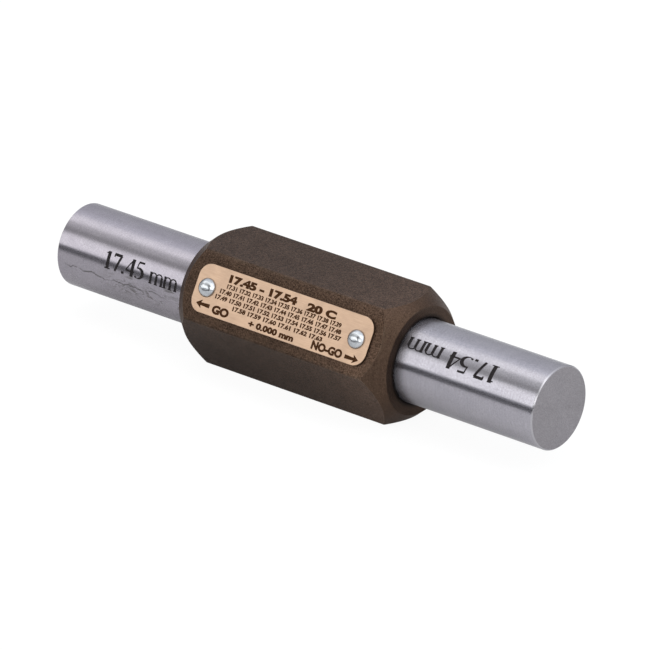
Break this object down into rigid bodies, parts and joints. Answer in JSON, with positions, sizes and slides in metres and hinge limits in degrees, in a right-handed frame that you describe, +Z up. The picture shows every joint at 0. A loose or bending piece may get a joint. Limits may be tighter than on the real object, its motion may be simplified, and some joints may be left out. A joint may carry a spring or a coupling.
{
  "type": "pin gauge",
  "caption": "Double-ended go and no-go pin gauge: plain ground pins held in a short hexagonal handle with a riveted plate.",
  "frame": {"origin": "on the pins' common axis, at the middle of the handle", "axes": "+X along the pins towards the no-go end, +Z up with the handle lying on one flat, name plate on the flat that faces -Y and up"},
  "size_m": [0.1232, 0.0292, 0.0254],
  "materials": {
    "oxidised_bar": "matte",
    "ground_steel": "satin",
    "plate_brass": "satin",
    "plated_screw": "gloss",
    "black_screw": "satin"
  },
  "bodies": {
    "root": {"handle": "oxidised_bar", "go_pin": "ground_steel", "no_go_pin": "ground_steel", "name_plate": "plate_brass", "drive_screw_go_side": "plated_screw", "drive_screw_no_go_side": "plated_screw", "set_screw_go_side": "black_screw", "set_screw_no_go_side": "black_screw"}
  },
  "joints": []
}
